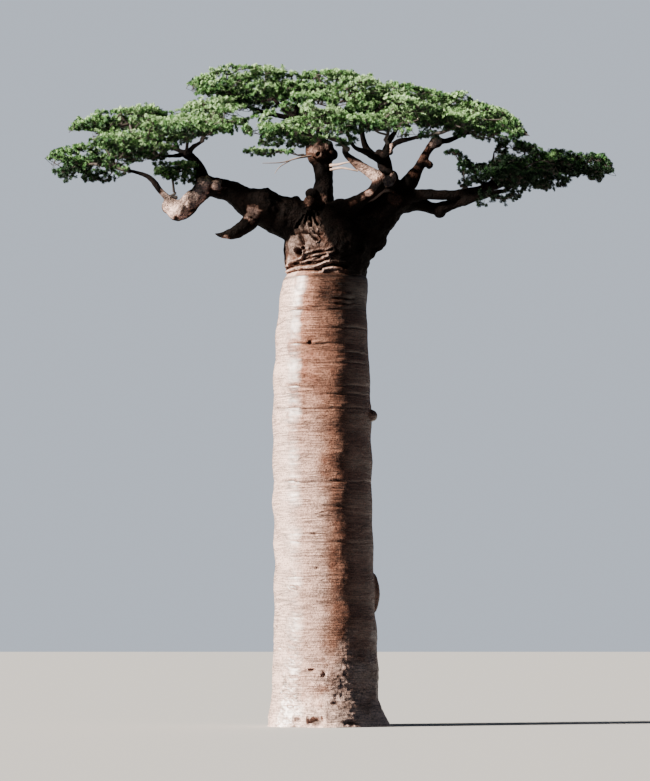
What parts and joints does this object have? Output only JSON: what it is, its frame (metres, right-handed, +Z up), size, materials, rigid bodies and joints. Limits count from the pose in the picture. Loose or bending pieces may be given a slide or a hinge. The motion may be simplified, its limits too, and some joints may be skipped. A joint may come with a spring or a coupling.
{
  "type": "baobab tree",
  "caption": "Baobab in green leaf: a tall smooth bottle-shaped trunk, a short head of crooked boughs and a broad flat crown of leaf cushions.",
  "frame": {"origin": "middle of the flat cut under the trunk, at ground level", "axes": "+Z up along the trunk, +X to the right and -Y towards the viewer when the hanging stub is on the left"},
  "size_m": [15.5467, 11.3981, 18.1569],
  "materials": {
    "bark": "smooth ringed bark, matt",
    "foliage": "leathery leaves, satin"
  },
  "bodies": {
    "root": {"trunk": "bark", "left_bough": "bark", "left_stub": "bark", "left_elbow": "bark", "left_low_bough": "bark", "left_riser": "bark", "left_mid_bough": "bark", "left_top_bough": "bark", "left_back_bough": "bark", "left_inner_bough": "bark", "left_front_bough": "bark", "centre_column": "bark", "column_top": "bark", "top_left_bough": "bark", "top_bough": "bark", "back_left_bough": "bark", "back_mid_bough": "bark", "right_bough": "bark", "arch_bough": "bark", "pale_bough": "bark", "right_riser": "bark", "front_bough": "bark", "fork_up": "bark", "fork_right": "bark", "fork_front": "bark", "fork_back": "bark", "right_diagonal": "bark", "diagonal_right": "bark", "diagonal_back": "bark", "upper_limb": "bark", "lower_limb": "bark", "far_right_fork": "bark", "far_right_back_bough": "bark", "left_low_leaves": "foliage", "left_mid_leaves": "foliage", "left_front_leaves": "foliage", "left_inner_leaves": "foliage", "left_back_leaves": "foliage", "left_cluster": "foliage", "column_wisp": "foliage", "top_left_leaves": "foliage", "top_mid_leaves": "foliage", "top_right_leaves": "foliage", "right_top_leaves": "foliage", "front_mid_leaves": "foliage", "front_right_leaves": "foliage", "front_far_right_leaves": "foliage", "front_left_leaves": "foliage", "top_front_leaves": "foliage", "back_left_leaves": "foliage", "back_mid_leaves": "foliage", "back_right_leaves": "foliage", "back_far_right_leaves": "foliage", "far_right_upper_leaves": "foliage", "far_right_tip_leaves": "foliage", "far_right_low_leaves": "foliage", "far_right_back_leaves": "foliage", "right_wisp": "foliage"}
  },
  "joints": []
}
